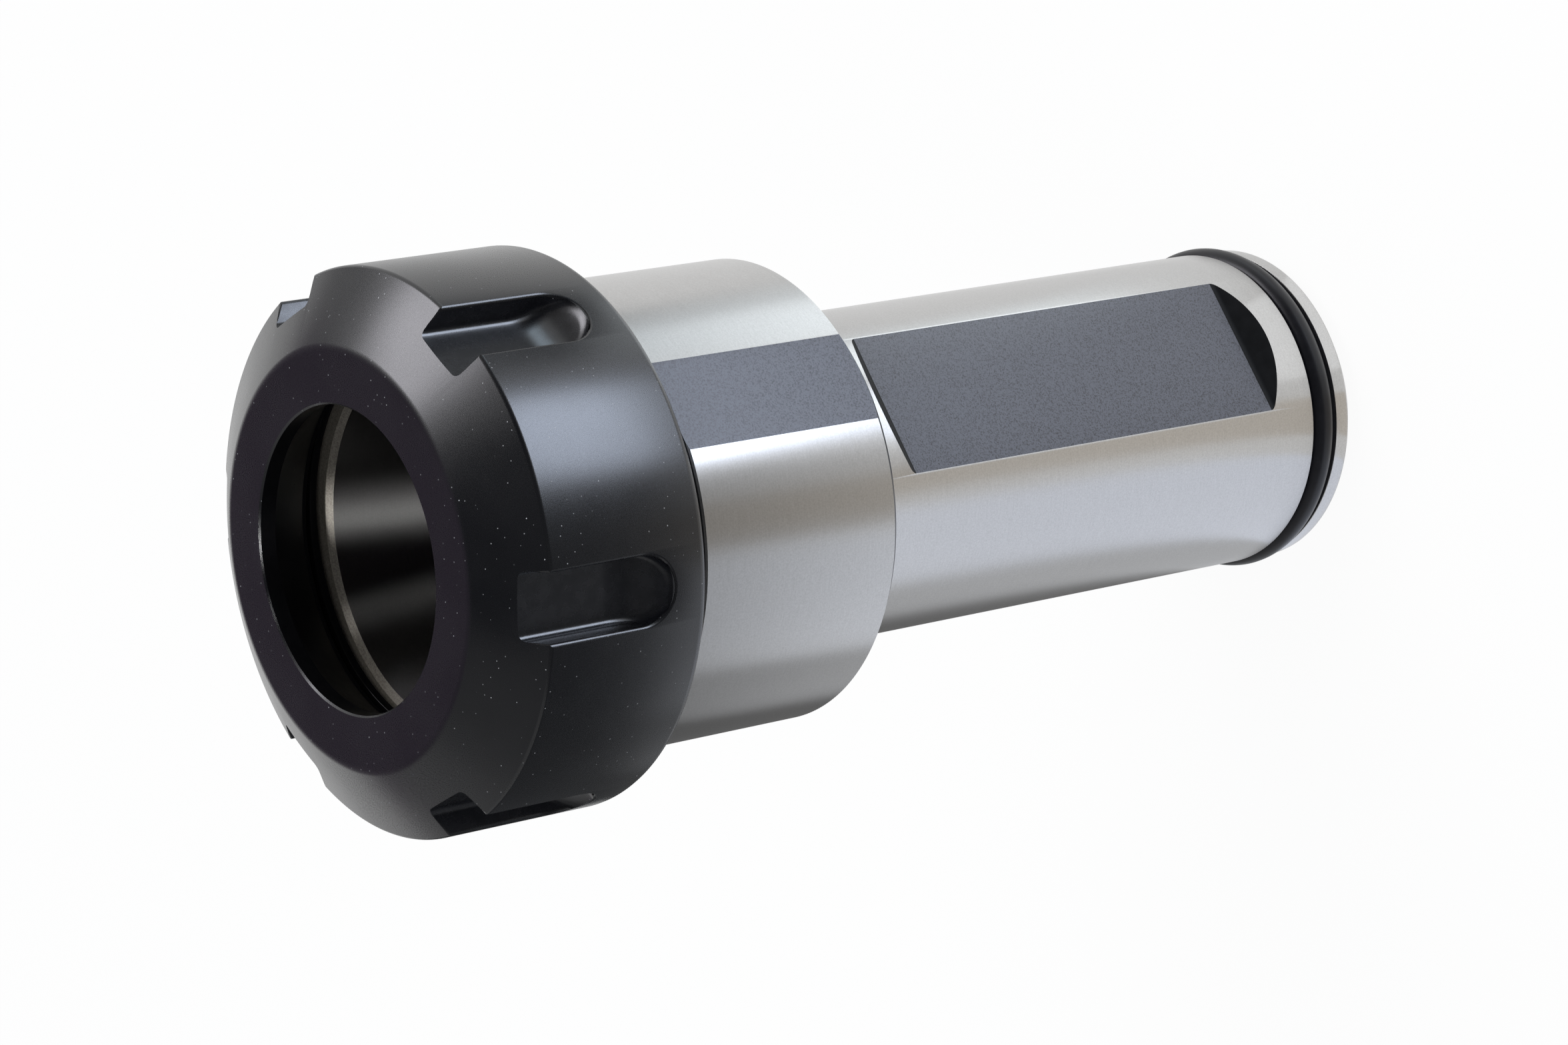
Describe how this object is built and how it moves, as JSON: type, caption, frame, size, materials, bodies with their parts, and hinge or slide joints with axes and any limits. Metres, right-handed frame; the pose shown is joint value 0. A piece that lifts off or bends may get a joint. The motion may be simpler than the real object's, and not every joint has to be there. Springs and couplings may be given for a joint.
{
  "type": "collet chuck holder",
  "caption": "Straight-shank collet chuck: ground steel body with a tapered collet socket, slotted clamping nut, sealing ring and inner stop screw.",
  "frame": {"origin": "centre of the shank's rear face, which the holder stands on", "axes": "+Z along the axis from the shank to the nut, -Y towards the flats on the shank and head"},
  "size_m": [0.063, 0.063, 0.1349],
  "materials": {
    "ground_steel": "cylindrically ground, milled flats left dark",
    "black_oxide_steel": "satin black oxide",
    "black_rubber": "smooth moulded",
    "blackened_screw_steel": "black oxide"
  },
  "bodies": {
    "holder": {"holder_body": "ground_steel", "shank_o_ring": "black_rubber"},
    "nut": {"clamp_nut": "black_oxide_steel"},
    "stop": {"stop_screw": "blackened_screw_steel"}
  },
  "joints": [
    {"name": "nut_turn", "type": "hinge", "parent": "holder", "child": "nut", "pos_m": [0, 0, 0.12], "axis": [0, 0, 1], "range_deg": [-168, 3048]},
    {"name": "stop_travel", "type": "slide", "parent": "holder", "child": "stop", "axis": [0, 0, 1], "range_m": [-0.0198, 0.003]}
  ]
}
